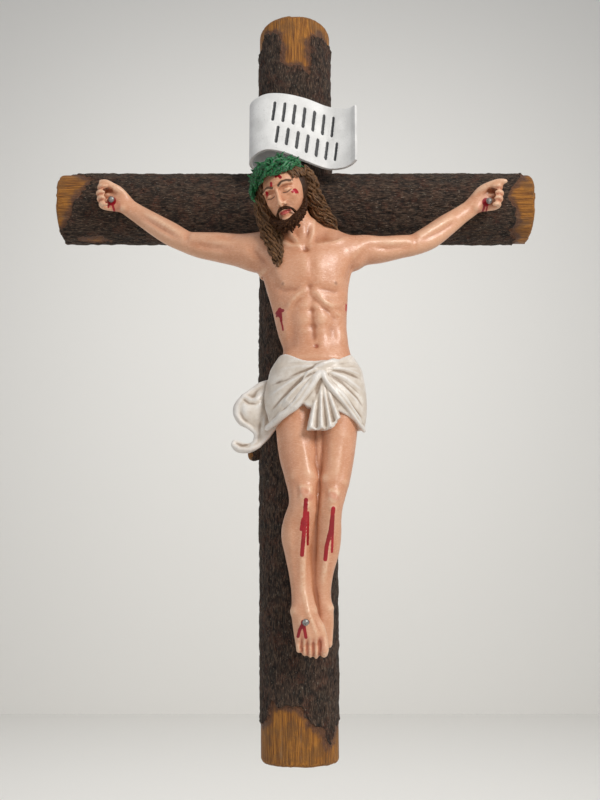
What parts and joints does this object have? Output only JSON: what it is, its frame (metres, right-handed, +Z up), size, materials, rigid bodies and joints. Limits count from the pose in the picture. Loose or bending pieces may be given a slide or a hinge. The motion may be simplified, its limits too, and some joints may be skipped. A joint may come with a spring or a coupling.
{
  "type": "wall crucifix",
  "caption": "Rustic wall crucifix: a painted corpus nailed to a cross of half-round logs with bark, under a curled white title ribbon.",
  "frame": {"origin": "on the flat sawn back of the upright, level with the axis of the crossbar", "axes": "+Z up the upright, +X to the viewer's right along the crossbar, +Y into the wall, so the figure faces -Y"},
  "size_m": [0.328, 0.09, 0.51],
  "materials": {
    "bark": "rough dark bark over ochre sawn wood, clear varnish",
    "ribbon": "satin white paint",
    "skin": "glossy flesh paint",
    "hair": "brown paint, dry brushed",
    "crown": "glossy green paint",
    "cloth": "pearl white paint",
    "nail": "dull silver"
  },
  "bodies": {
    "root": {"upright_log": "bark", "crossbar_log": "bark", "title_scroll": "ribbon", "figure": "skin", "nail_left_hand": "nail", "nail_right_hand": "nail", "nail_feet": "nail"}
  },
  "joints": []
}
